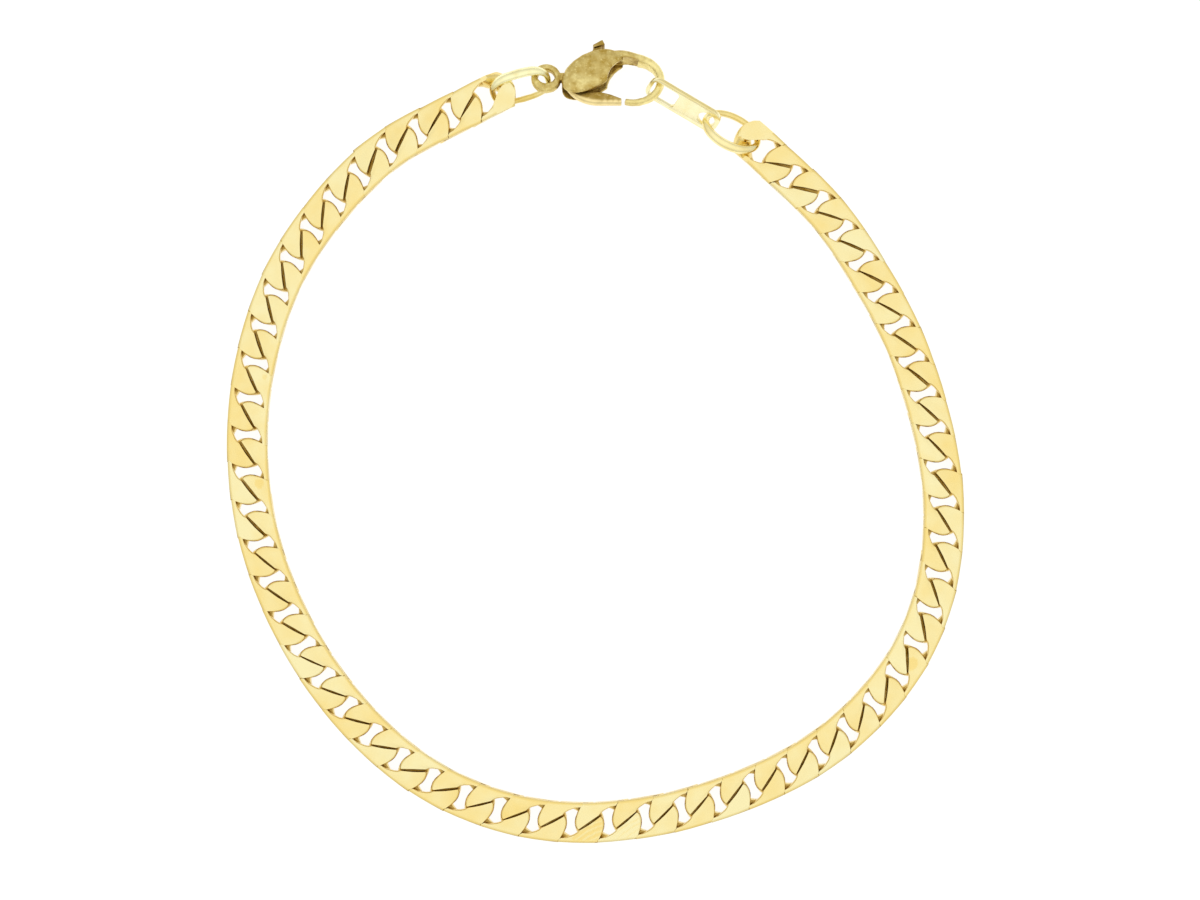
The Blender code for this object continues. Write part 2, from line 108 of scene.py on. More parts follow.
BEND_RADIUS = 31.5
SLIT_REACH = 0.4

# How far each link is turned by chance, in degrees about its axes, how dark its faces are, and the rims'
# painted shade
LINK_SWAY = {"X": 0.8, "Y": 0.5, "Z": 0.5}
FACE_TONE = 0.4
FACE_TONE_SPREAD = 0.2
RIM_PAINTED_SHADE = 0.5
FACE_SKIN = 0.05
FACING = 0.8

# Wear on single links: where the link lies, then what is worn into its upper face or how dark it is
SCORED_LINKS = [((-2.1, -31.9), 0.03), ((1.1, -31.9), 0.014)]
DENTED_LINKS = [((-29.4, 3.7), (-1.94, 1.1), 0.16, 0.05), ((-29.0, -5.7), (-1.95, 0.9), 0.34, 0.04),
                ((25.3, -19.7), (1.5, -0.4), 0.5, 0.035)]
DARK_LINKS = [((-29.6, 0.5), 0.75), ((-29.5, 3.7), 0.3), ((-29.0, -5.7), 0.25)]
SCORE_ANGLE = math.radians(38)
SCORE_STEP = 0.08
SCORE_LENGTH = 0.42
SCORE_BOW = 0.09
SCORE_START = 0.1
SCORE_FADE = 4
SCORE_END_FADE = 3
WEAR_GRID = 0.2
WEAR_SPAN = 1.4

# Clasp, measured from the lever's pin
CLASP_ROLL = math.radians(18)
HOUSING_LENGTH = 5.74
HOUSING_RISE = 1.8
HOUSING_DROP = 1.38
HOUSING_THICKNESS = 2.4
HOUSING_LEAN = math.radians(31)
HOUSING_FROM_PIN = (1.18, 0.71)
PIN_DIAMETER = 0.42
PIN_PROUD = 0.03
WEB_THICKNESS = 0.4
SLOT_SHOULDER = 1.08
SLOT_TOP = 1.9
SLOT_TAPER = 0.5
MOUTH_INSET = 0.15
MOUTH_DROP = 0.3
HOOK_FROM_PIN = (4.56, 0.19)
HOOK_LENGTH = 4.64
HOOK_HEIGHT = 3.9
HOOK_ROOT_WIDTH = 1.0
HOOK_ROOT_THICKNESS = 2.2
HOOK_TIP_WIDTH = 0.46
HOOK_TIP_THICKNESS = 0.8
HOOK_ROUNDNESS = 0.8
HOOK_START = math.radians(138)
HOOK_END = math.radians(-107)
HOOK_FLOW = 0.36
HOOK_FLOW_START = math.radians(74)
EYE_BORE = 1.4
EYE_WALL = 0.58
EYE_THICKNESS = 0.8
EYE_GAP = 0.1
EYE_ABOVE_PIN = 0.44
EYE_HEAVY = 0.24
EYE_ROUNDNESS = 0.65
NECK_HEIGHT = 0.7
NECK_BELOW_EYE = 0.28
NECK_THICKNESS = 0.7
LEVER_THICKNESS = 0.84
BOSS_WALL = 0.22
GATE_CENTRE = (1.7, 0.36)
GATE_INSET = 0.08
GATE_RIM = 0.3
GATE_WIDTH = 1.05
GATE_TIP = 0.45
GATE_ROUND = 0.26
GATE_ROUND_STEPS = 6
GATE_ARC = (math.radians(200), math.radians(270))
GATE_TIP_STEPS = 4
GATE_TAPER = 1.4
ARM_WIDTH = 0.5
ARM_THICKNESS = 0.78
TAB_LENGTH = 0.95
TAB_HEIGHT = 0.46
TAB_END_HEIGHT = 0.24
TAB_WIDTH = 1.3
TAB_LEAN = math.radians(24)
TAB_LIFT = 0.6
TAB_SINK = 0.1
TAB_ANGLE = math.radians(64)
LEVER_SWING = math.radians(22)

# Casting: how finely it is modelled and how often it is smoothed, and its dents as their size, depth and seed
BODY_VOXEL = 0.05
BODY_SMOOTHING = 4
LEVER_VOXEL = 0.04
LEVER_SMOOTHING = 3
JUNCTION = (3.1, 2.3)
JUNCTION_REACH = 1.5
JUNCTION_SMOOTHING = 14
BODY_DENTS = [(0.9, 0.02, 3), (0.4, 0.012, 8)]
LEVER_DENTS = (0.6, 0.012, 5)
CONNECTOR_DENTS = (0.7, 0.02, 2)
DENT_ROUGHNESS = 0.6
DENT_LACUNARITY = 2.0
DENT_OCTAVES = 3

# Where the clasp is bright and dull, from 0 to 1: over what stretch it brightens, and by how much
HOUSING_TONE = 0.78
HOOK_BRIGHTENS = (2.6, 6.6)
HOOK_BRIGHTER = 0.75
EYE_BRIGHTENS = (1.6, 2.4)
EYE_BRIGHTER = 0.2
# A highlight painted about the pin's head: its place, spread and strength
PIN_HIGHLIGHT_PLACE = (0.4, 0.1)
PIN_HIGHLIGHT_SPREAD = 1.6
PIN_HIGHLIGHT_BRIGHTER = 0.35
# A dark streak under the root of the hook, added to the painted shade in the hollows
HOOK_MARK_PLACE = (4.2, 1.9)
HOOK_MARK_LENGTH = 0.6
HOOK_MARK_WIDTH = 0.16
HOOK_MARK_DARKNESS = 0.8
# Painted highlight along the gate's outer edge, and painted shade inside it under the housing
GATE_EDGE_HIGHLIGHT = 0.1
GATE_SHADE_SPAN = (0.2, 0.46)
GATE_PAINTED_SHADE = 0.8
BODY_HOLLOW_REACH = 1.2
LEVER_HOLLOW_REACH = 0.7
CLASP_RAYS = 32

# Connector, tag and jump ring. A section is a wire's thin side, then how much broader and thicker it gets.
CONNECTOR_WIRE = 0.54
CONNECTOR_SECTION = (0.9, 0.4, 0.85)
# Painted shade on the connector's lower side, and where across it that shade fades out
CONNECTOR_SHADE = 0.9
CONNECTOR_SHADE_FADES = (-0.9, 0.3)
CONNECTOR_WIDTH = 3.3
CONNECTOR_TILT = math.radians(45)
CONNECTOR_SQUARENESS = 2.7
TAG_LENGTH = 6.8
TAG_WIDTH = 2.56
TAG_THICKNESS = 0.4
TAG_BAR = 0.36
TAG_WINDOW = 2.4
TAG_CORNER = 0.9
WINDOW_CORNER = 0.37
TAG_BORE = 1.5
TAG_RAISE = 0.15
TAG_TILT = math.radians(53)
TAG_DIRECTION = math.radians(-30)
TAG_HOOK_ANGLE = math.radians(-7)
TAG_EDGE = 0.09
TAG_TONE = 0.15
# Painted shade along the tag's long rounded edges: how wide it is and how dark
TAG_SHADE_WIDTH = 0.2
TAG_EDGE_SHADE = 0.6
RING_WIRE = 0.6
RING_SECTION = (0.92, 0.45, 0.45)
RING_TONE = 0.2
# Painted shade on the ring's far side, where it dives down: over what stretch and how dark
RING_SHADE_SPAN = (0.2, 1)
RING_PAINTED_SHADE = 0.65
RING_WIDTH = 3.92
RING_TILT = math.radians(-38)

# Gold: where each effect starts and how steeply it grows from there, then what it does to the gloss. A set of
# scratches has its angle, how far it is drawn out, and its scale.
SCRATCHES_START = (0.27, 7)
# Bright specks painted as glints start here
GLINTS_START = (0.58, 9)
PORES_START = (0.56, 7)
# Painted shade in hollows: where the tint towards the worn colour and the dark shade colour begin
SHADE_TINT_START = (0.06, 2.6)
SHADE_START = (0.36, 1.9)
OPEN_PORES = 0.15
SHADE_AND_PITS_DULL = 0.25
WEAR_AND_SHADE_DULL = 0.08
GLINTS_SHINE = 0.12
SCRATCHES_DULL = 0.12
SCRATCH_DEPTH = 0.3
SCRATCH_SETS = [(0.5, 16, 2.6), (-0.8, 18, 2.2)]

# Rays that look for nearby metal start this far above a surface and keep clear of its own plane
RAY_START = 0.02
RAY_SLANT = 0.15

# View: straight down, with the long side of the picture as wide as this on the surface
VIEW_WIDTH = 101.4
VIEW_CENTRE = (0.371, -0.709)
VIEW_LENS = 100
SENSOR_WIDTH = 36
FLOOR_HALF = 0.6


# Mesh helpers
def loft(sections, closed=False):
    """A closed mesh through equal sections, either round in a loop or with flat ends."""
    bm = bmesh.new()
    rings = [[bm.verts.new(point) for point in section] for section in sections]
    sides = len(rings[0])
    for i in range(len(rings) if closed else len(rings) - 1):
        this, following = rings[i], rings[(i + 1) % len(rings)]
        for k in range(sides):
            after = (k + 1) % sides
            bm.faces.new((this[k], this[after], following[after], following[k]))
    if not closed:
        bm.faces.new(rings[0])
        bm.faces.new(rings[-1])
    bmesh.ops.recalc_face_normals(bm, faces=bm.faces)
    mesh = bpy.data.meshes.new("loft")
    bm.to_mesh(mesh)
    bm.free()
    return mesh


def prism(outline, low, high):
    return loft([[Vector((x, y, z)) for x, y in outline] for z in (low, high)])


def disc(radius, thickness, sides):
    angles = [math.tau * k / sides for k in range(sides)]
    outline = [(radius * math.cos(a), radius * math.sin(a)) for a in angles]
    return prism(outline, -thickness / 2, thickness / 2)


def evaluated(obj):
    mesh = bpy.data.meshes.new_from_object(obj.evaluated_get(bpy.context.evaluated_depsgraph_get()))
    bpy.data.objects.remove(obj, do_unlink=True)
    return mesh


def bench_object(data):
    obj = bpy.data.objects.new("bench", data)
    bpy.context.scene.collection.objects.link(obj)
    return obj


def combine(first, second, operation):
    """A new mesh of the two, with the operation's name in capitals as Blender gives it."""
    base, other = bench_object(first), bench_object(second)
    boolean = base.modifiers.new("combine", "BOOLEAN")
    boolean.operation = operation
    boolean.solver = "EXACT"
    boolean.object = other
    mesh = evaluated(base)
    bpy.data.objects.remove(other, do_unlink=True)
    return mesh


def cast(mesh, voxel, rounds):
    """The same solid as a casting: its edges and inner corners melt into small fillets."""
    obj = bench_object(mesh)
    remesh = obj.modifiers.new("remesh", "REMESH")
    remesh.mode = "VOXEL"
    remesh.voxel_size = voxel
    smooth = obj.modifiers.new("smooth", "SMOOTH")
    smooth.factor = 0.5
    smooth.iterations = rounds
    return evaluated(obj)


def placed(mesh, matrix):
    copy = mesh.copy()
    copy.transform(matrix)
    return copy


def signed_power(value, power):
    return math.copysign(abs(value) ** power, value)


def clamped(value):
    return min(max(value, 0), 1)


def rise(value, low, high):
    """From 0 at the low value to 1 at the high one, softly."""
    share = clamped((value - low) / (high - low))
    return share * share * (3 - 2 * share)


def turned(vector, angle):
    x, y = vector
    return (x * math.cos(angle) - y * math.sin(angle), x * math.sin(angle) + y * math.cos(angle))


def frame_matrix(place, x_axis, y_axis):
    return Matrix.Translation(place) @ Matrix((x_axis, y_axis, x_axis.cross(y_axis))).transposed().to_4x4()


def sphere_directions(count):
    """Directions spread evenly over a sphere."""
    golden = math.pi * (3 - math.sqrt(5))
    for k in range(count):
        z = 1 - 2 * (k + 0.5) / count
        radius = math.sqrt(1 - z * z)
        yield Vector((radius * math.cos(golden * k), radius * math.sin(golden * k), z))


def closed_in(mesh, around=(), reach=1.0, count=40):
    """For each point of a mesh, the share of its open side that metal nearer than the reach closes off."""
    points, faces = [], []
    for part in (mesh, *around):
        start = len(points)
        points += [vertex.co.copy() for vertex in part.vertices]
        faces += [[start + k for k in polygon.vertices] for polygon in part.polygons]
    tree = BVHTree.FromPolygons(points, faces)
    directions = list(sphere_directions(count))
    values = []
    for vertex in mesh.vertices:
        start = vertex.co + vertex.normal * RAY_START
        open_side = [d for d in directions if d.dot(vertex.normal) > RAY_SLANT]
        hits = sum(tree.ray_cast(start, d, reach)[0] is not None for d in open_side)
        values.append(hits / max(len(open_side), 1))
    return values


def set_points(mesh, name, values):
    mesh.attributes.new(name, "FLOAT", "POINT").data.foreach_set("value", values)


def add_piece(name, mesh, material, body, nodes, sharp=35):
    """Adds a finished piece that stands for the named solids and rides on their body."""
    mesh.transform(Matrix.Scale(MM, 4))
    mesh.materials.clear()
    mesh.materials.append(material)
    piece = bpy.data.objects.new(name, mesh)
    bpy.context.scene.collection.objects.link(piece)
    mesh.shade_smooth()
    mesh.set_sharp_from_angle(angle=math.radians(sharp))
    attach(piece, body)
    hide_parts(*nodes)


# Materials
def socket(group, name, kind, in_or_out, value=None):
    made = group.interface.new_socket(name=name, socket_type="NodeSocket" + kind, in_out=in_or_out)
    if value is not None:
        made.default_value = value


def gold_group():
    """Colour, roughness and relief of worn gold, over coordinates in millimetres, with painted shade and
    glints.
    """
    group = bpy.data.node_groups.new("worn_gold_surface", "ShaderNodeTree")
    for name, kind, value in (
            ("Place", "Vector", None), ("Bright", "Color", (0.85, 0.7, 0.36, 1)),
            ("Worn And Shaded", "Color", (0.8, 0.6, 0.28, 1)), ("Shade And Pits", "Color", (0.2, 0.11, 0.02, 1)),
            ("Recess", "Float", 0.0), ("Tone", "Float", 0.5), ("Roughness", "Float", 0.2),
            ("Cloud Scale", "Float", 0.6), ("Cloud", "Float", 1.0), ("Grain Scale", "Float", 9.0),
            ("Grain", "Float", 0.3), ("Scratches", "Float", 0.4)):
        socket(group, name, kind, "INPUT", value)
    for name, kind in (("Colour", "Color"), ("Gloss", "Float"), ("Height", "Float")):
        socket(group, name, kind, "OUTPUT")
    nodes, links = group.nodes, group.links
    given = nodes.new("NodeGroupInput").outputs
    result = nodes.new("NodeGroupOutput")

    def worked(operation, first, second, clamp=False):
        node = nodes.new("ShaderNodeMath")
        node.operation = operation
        node.use_clamp = clamp
        for k, source in enumerate((first, second)):
            if isinstance(source, (int, float)):
                node.inputs[k].default_value = source
            else:
                links.new(source, node.inputs[k])
        return node.outputs[0]

    def step_from(value, start, slope):
        return worked("MULTIPLY", worked("SUBTRACT", value, start), slope, clamp=True)

    def noise_over(vector, scale, detail):
        node = nodes.new("ShaderNodeTexNoise")
        node.inputs["Detail"].default_value = detail
        if isinstance(scale, (int, float)):
            node.inputs["Scale"].default_value = scale
        else:
            links.new(scale, node.inputs["Scale"])
        links.new(vector, node.inputs["Vector"])
        return node.outputs["Fac"]

    def mixed(share, first, second):
        node = nodes.new("ShaderNodeMix")
        node.data_type = "RGBA"
        links.new(share, node.inputs[0])
        links.new(first, node.inputs[6])
        links.new(second, node.inputs[7])
        return node.outputs[2]

    def drawn_out(angle, length):
        node = nodes.new("ShaderNodeMapping")
        node.inputs["Rotation"].default_value = (0, 0, angle)
        node.inputs["Scale"].default_value = (1, length, 1)
        links.new(given["Place"], node.inputs["Vector"])
        return node.outputs[0]

    cloud = noise_over(given["Place"], given["Cloud Scale"], 3)
    grain = noise_over(given["Place"], given["Grain Scale"], 4)
    strands = [noise_over(drawn_out(angle, length), scale, 2) for angle, length, scale in SCRATCH_SETS]
    hair = worked("MULTIPLY", step_from(worked("MULTIPLY", *strands), *SCRATCHES_START), given["Scratches"])

    # Worn and dull patches, bright specks painted as glints, dark pits, then painted shade where metal closes
    # the surface in
    patches = worked("MULTIPLY", worked("SUBTRACT", cloud, 0.5), given["Cloud"])
    tone = worked("ADD", given["Tone"], patches, clamp=True)
    colour = mixed(tone, given["Bright"], given["Worn And Shaded"])
    # Painted glints: bright specks of grain, mixed towards the bright colour
    glints = worked("MULTIPLY", step_from(grain, *GLINTS_START), given["Grain"])
    colour = mixed(glints, colour, given["Bright"])
    pores = worked("MULTIPLY", step_from(worked("SUBTRACT", 1, grain), *PORES_START), given["Grain"])
    pores = worked("MULTIPLY", pores, worked("ADD", given["Recess"], OPEN_PORES))
    # Painted shade: closed-in places are tinted towards the worn colour, then darkened together with the pits
    colour = mixed(step_from(given["Recess"], *SHADE_TINT_START), colour, given["Worn And Shaded"])
    shade_and_pits = worked("ADD", step_from(given["Recess"], *SHADE_START), pores, clamp=True)
    colour = mixed(shade_and_pits, colour, given["Shade And Pits"])
    links.new(colour, result.inputs["Colour"])

    gloss = worked("ADD", given["Roughness"], worked("MULTIPLY", shade_and_pits, SHADE_AND_PITS_DULL))
    gloss = worked("ADD", gloss, worked("MULTIPLY", tone, WEAR_AND_SHADE_DULL))
    gloss = worked("SUBTRACT", gloss, worked("MULTIPLY", glints, GLINTS_SHINE))
    gloss = worked("ADD", gloss, worked("MULTIPLY", hair, SCRATCHES_DULL), clamp=True)
    links.new(gloss, result.inputs["Gloss"])

    relief = worked("MULTIPLY", grain, given["Grain"])
    relief = worked("SUBTRACT", relief, worked("MULTIPLY", hair, SCRATCH_DEPTH))
    links.new(relief, result.inputs["Height"])
    return group


def gold(name, group, values, relief_depth):
    """A gold finish; its values are the group's own, and the relief is in millimetres."""
    material = bpy.data.materials.new(name)
    material.use_nodes = True
    nodes, links = material.node_tree.nodes, material.node_tree.links
    shader = nodes["Principled BSDF"]
    shader.inputs["Metallic"].default_value = 1
    coordinates = nodes.new("ShaderNodeTexCoord")
    scaled = nodes.new("ShaderNodeVectorMath")
    scaled.operation = "SCALE"
    scaled.inputs["Scale"].default_value = 1 / MM
    links.new(coordinates.outputs["Object"], scaled.inputs[0])
    surface = nodes.new("ShaderNodeGroup")
    surface.node_tree = group
    links.new(scaled.outputs[0], surface.inputs["Place"])
    for attribute, target in (("recess", "Recess"), ("tone", "Tone")):
        node = nodes.new("ShaderNodeAttribute")
        node.attribute_name = attribute
        links.new(node.outputs["Fac"], surface.inputs[target])
    for key, value in values.items():
        surface.inputs[key].default_value = value
    bump = nodes.new("ShaderNodeBump")
    bump.inputs["Strength"].default_value = 1
    bump.inputs["Distance"].default_value = relief_depth * MM
    links.new(surface.outputs["Height"], bump.inputs["Height"])
    links.new(surface.outputs["Colour"], shader.inputs["Base Color"])
    links.new(surface.outputs["Gloss"], shader.inputs["Roughness"])
    links.new(bump.outputs["Normal"], shader.inputs["Normal"])
    return material


surface_group = gold_group()
chain_gold = gold("polished_chain_gold", surface_group, {
    "Bright": (0.88, 0.79, 0.43, 1), "Worn And Shaded": (0.88, 0.68, 0.24, 1), "Shade And Pits": (0.38, 0.21, 0.02, 1),
    "Roughness": 0.2, "Cloud Scale": 0.5, "Cloud": 1.3, "Grain": 0.05, "Scratches": 0.12}, 0.006)
clasp_gold = gold("worn_cast_gold", surface_group, {
    "Bright": (0.95, 0.82, 0.36, 1), "Worn And Shaded": (0.48, 0.32, 0.06, 1), "Shade And Pits": (0.07, 0.025, 0.004, 1),
    "Roughness": 0.32, "Cloud Scale": 1.3, "Cloud": 1.7, "Grain Scale": 4.4, "Grain": 0.5,
    "Scratches": 0.5}, 0.04)
lever_gold = gold("lever_gold", surface_group, {
    "Bright": (0.93, 0.76, 0.36, 1), "Worn And Shaded": (0.4, 0.26, 0.05, 1), "Shade And Pits": (0.08, 0.035, 0.006, 1),
    "Roughness": 0.3, "Cloud Scale": 1.6, "Cloud": 0.7, "Grain Scale": 4.2, "Grain": 0.35,
    "Scratches": 0.3}, 0.03)
connector_gold = gold("connector_gold", surface_group, {
    "Bright": (0.98, 0.93, 0.54, 1), "Worn And Shaded": (0.78, 0.58, 0.16, 1), "Shade And Pits": (0.2, 0.1, 0.02, 1),
    "Roughness": 0.24, "Cloud Scale": 1.4, "Cloud": 1.2, "Grain": 0.2, "Scratches": 0.2}, 0.02)
tag_gold = gold("bright_tag_gold", surface_group, {
    "Bright": (0.98, 0.92, 0.6, 1), "Worn And Shaded": (0.86, 0.7, 0.26, 1), "Shade And Pits": (0.3, 0.17, 0.03, 1),
    "Roughness": 0.22, "Cloud Scale": 0.9, "Cloud": 0.9, "Grain": 0.08, "Scratches": 0.3}, 0.01)
ring_gold = gold("jump_ring_gold", surface_group, {
    "Bright": (0.98, 0.87, 0.46, 1), "Worn And Shaded": (0.84, 0.64, 0.2, 1), "Shade And Pits": (0.22, 0.12, 0.02, 1),
    "Roughness": 0.18, "Cloud Scale": 0.9, "Cloud": 1.2, "Grain": 0.1, "Scratches": 0.2}, 0.01)


# Chain
def smooth_route():
    points = [Vector((x, y, 0)) for x, y in ROUTE_POINTS]
    points = [2 * points[0] - points[1]] + points + [2 * points[-1] - points[-2]]
    route = []
    for before, start, end, after in zip(points, points[1:], points[2:], points[3:]):
        for step in range(ROUTE_STEPS):
            t = step / ROUTE_STEPS
            route.append(0.5 * (2 * start + (end - before) * t
                                + (2 * before - 5 * start + 4 * end - after) * t ** 2
                                + (3 * start - before - 3 * end + after) * t ** 3))
    return route + [points[-2]]


def slide(share):
    """How far the link at a share of the route is slid along it."""
    place = share * (len(LINK_SLIDES) - 1)
    k = min(int(place), len(LINK_SLIDES) - 2)
    return LINK_SLIDES[k] + (LINK_SLIDES[k + 1] - LINK_SLIDES[k]) * (place - k)


def link_frames():
    """One matrix for each link: x along the chain, y to the inside of the loop, z up."""
    route = smooth_route()
    travelled = [0]
    for a, b in zip(route, route[1:]):
        travelled.append(travelled[-1] + (b - a).length)
    length = travelled[-1]
    count = round(length / LINK_PITCH) + 1

    def centre(distance):
        distance = min(max(distance, 0), length)
        k = next(i for i in range(1, len(route)) if travelled[i] >= distance)
        share = (distance - travelled[k - 1]) / (travelled[k] - travelled[k - 1])
        point = route[k - 1].lerp(route[k], share)
        near_end = 1 - min(distance, length - distance, LIFT_LENGTH) / LIFT_LENGTH
        rise = near_end ** 2 * (3 - 2 * near_end)
        return point + UP * (CHAIN_THICKNESS / 2 + (END_HEIGHT - CHAIN_THICKNESS / 2) * rise)

    frames = []
    for i in range(count):
        share = i / (count - 1)
        distance = length * share + slide(share)
        tip = PLAIN_REACH + PLAIN_WIRE / 2
        before, after = centre(distance - tip), centre(distance + tip)
        middle = centre(distance)
        middle.z = max(middle.z, (before.z + after.z) / 2)
        along = (after - before).normalized()
        inward = UP.cross(along).normalized()
        frames.append(frame_matrix(middle + CENTRING, along, inward))
    return frames


def box(low, high):
    (left, front, bottom), (right, back, top) = low, high
    return prism([(left, front), (right, front), (right, back), (left, back)], bottom, top)


def wire_mesh():
    """The twisted oval of wire that a link is bent from, broad at its shoulders and flat at its sides."""
    def middle(turn):
        across = LINK_HALF_WIDTH * math.sin(turn)
        twist = -LINK_TWIST * math.cos(turn)
        return Vector((LINK_REACH * math.cos(turn), across * math.cos(twist), across * math.sin(twist)))

    rings = []
    for step in range(LINK_STEPS):
        turn = math.tau * (step + 0.5) / LINK_STEPS
        along = (middle(turn + TURN_STEP) - middle(turn - TURN_STEP)).normalized()
        outward = along.cross(UP).normalized()
        upward = outward.cross(along)
        beside = math.sin(turn) ** 2
        broad = TIP_RADIUS + (SIDE_RADIUS - TIP_RADIUS) * beside
        broad += SHOULDER_SWELL * abs(math.sin(2 * turn)) ** SHOULDER_POWER
        tall = TIP_RADIUS + (SIDE_HALF_HEIGHT - TIP_RADIUS) * beside ** SIDE_POWER
        angles = [math.tau * k / WIRE_SIDES for k in range(WIRE_SIDES)]
        rings.append([middle(turn) + outward * math.cos(a) * broad + upward * math.sin(a) * tall
                      for a in angles])
    far, side, top = 2 * LINK_PITCH, CHAIN_WIDTH / 2, CHAIN_THICKNESS / 2 + GROUND_SKIN
    return combine(loft(rings, closed=True), box((-far, -side, -top), (far, side, top)), "INTERSECT")


def face_block(turned_round):
    """The space that a link may fill under one of its upper faces."""
    corners = []
    for k, (x, y, rim) in enumerate(FACE_OUTLINE):
        before, after = FACE_OUTLINE[k - 1], FACE_OUTLINE[(k + 1) % len(FACE_OUTLINE)]
        along = Vector((after[0] - before[0], after[1] - before[1])).normalized()
        corners.append((Vector((x, y)), Vector((along.y, -along.x)) * rim))
    sign = -1 if turned_round else 1
    sections = []
    for share, z in [(0, 0)] + [(share, CHAIN_THICKNESS / 2 - fall) for share, fall in FACE_ROUNDING]:
        places = [place + inward * share for place, inward in corners]
        sections.append([Vector((sign * x, sign * y, z)) for x, y in places])
    return loft(sections)


def bent(mesh):
    """The sides of each link follow the curve of the chain."""
    for vertex in mesh.vertices:
        x, y = vertex.co.xy
        vertex.co.xy = (x * (1 - y / BEND_RADIUS), y + x * x / BEND_RADIUS / 2)
    return mesh


def link_mesh(free=0):
    """A link ground flat, whose faces leave room for its neighbours' but at a free end, given by its sign."""
    far, side, high = 2 * LINK_PITCH, CHAIN_WIDTH / 2, CHAIN_THICKNESS
    wire = wire_mesh()
    link = combine(wire, box((-far, -side, FACE_UNDERSIDE), (far, side, high)), "UNION")
    reach = far + CUTTER_MARGIN
    outside = box((-reach, -far, FACE_FLOOR), (reach, far, high + CUTTER_MARGIN))
    for turned_round in (False, True):
        outside = combine(outside, face_block(turned_round), "DIFFERENCE")
    for half_turn in (Matrix(), Matrix.Rotation(math.pi, 4, "Y")):
        link = combine(link, placed(outside, half_turn), "DIFFERENCE")
    if free > 0:
        link = combine(link, prism(FREE_CORNER, -high, high), "DIFFERENCE")
    if free:
        start, end = sorted((free * FREE_END, free * far))
        natural = placed(wire, Matrix.Scale(NATURAL_SCALE, 4))
        natural = combine(natural, box((start, -far, -high), (end, far, high)), "INTERSECT")
        link = combine(link, natural, "UNION")
    return bent(link)


def pressed(link, depth_at, angle):
    """A copy of a link whose upper face is pressed in by depth_at(along, across), seen from a turned grid."""
    bm = bmesh.new()
    bm.from_mesh(link)
    along = Vector((math.cos(angle), math.sin(angle), 0))
    across = Vector((-math.sin(angle), math.cos(angle), 0))
    for normal, step in ((across, SCORE_STEP), (along, WEAR_GRID)):
        count = int(PLAIN_REACH * WEAR_SPAN / step)
        for k in range(-count, count + 1):
            geometry = bm.verts[:] + bm.edges[:] + bm.faces[:]
            place = normal * step * k
            bmesh.ops.bisect_plane(bm, geom=geometry, dist=TOLERANCE, plane_co=place, plane_no=normal)
    for vertex in bm.verts:
        if vertex.co.z > CHAIN_THICKNESS / 2 - TOLERANCE:
            vertex.co.z -= depth_at(vertex.co.dot(along), vertex.co.dot(across), vertex.co)
    copy = bpy.data.meshes.new("worn_link")
    bm.to_mesh(copy)
    bm.free()
    return copy


def scored(link, depth):
    """Curved bands worn into the outer half of the upper face, beside the slit."""
    def depth_at(along, across, place):
        beside_slit = clamped((FACE_SLOPE * place.x - place.y + SCORE_START) * SCORE_FADE)
        share = beside_slit * clamped(place.x * SCORE_END_FADE)
        return depth * share * (1 + math.sin(math.tau * (across + SCORE_BOW * along ** 2) / SCORE_LENGTH)) / 2
    return pressed(link, depth_at, SCORE_ANGLE)


def dented(link, place, size, depth):
    def depth_at(along, across, point):
        return depth * math.exp(-((point.x - place[0]) ** 2 + (point.y - place[1]) ** 2) / size ** 2)
    return pressed(link, depth_at, 0)


def face_recess(mesh, values):
    """Spreads the points' values to face corners, as painted shade: none on the ground faces, more on the
    walls.
    """
    recess = []
    for polygon in mesh.polygons:
        level = abs(polygon.center.z) > CHAIN_THICKNESS / 2 - FACE_SKIN and abs(polygon.normal.z) > FACING
        beside = abs(polygon.center.y) > CHAIN_WIDTH / 2 - FACE_SKIN and abs(polygon.normal.y) > FACING
        most = max(values[k] for k in polygon.vertices)
        recess += [0.0 if level or beside else (values[k] + most) / 2 for k in polygon.vertices]
    return recess


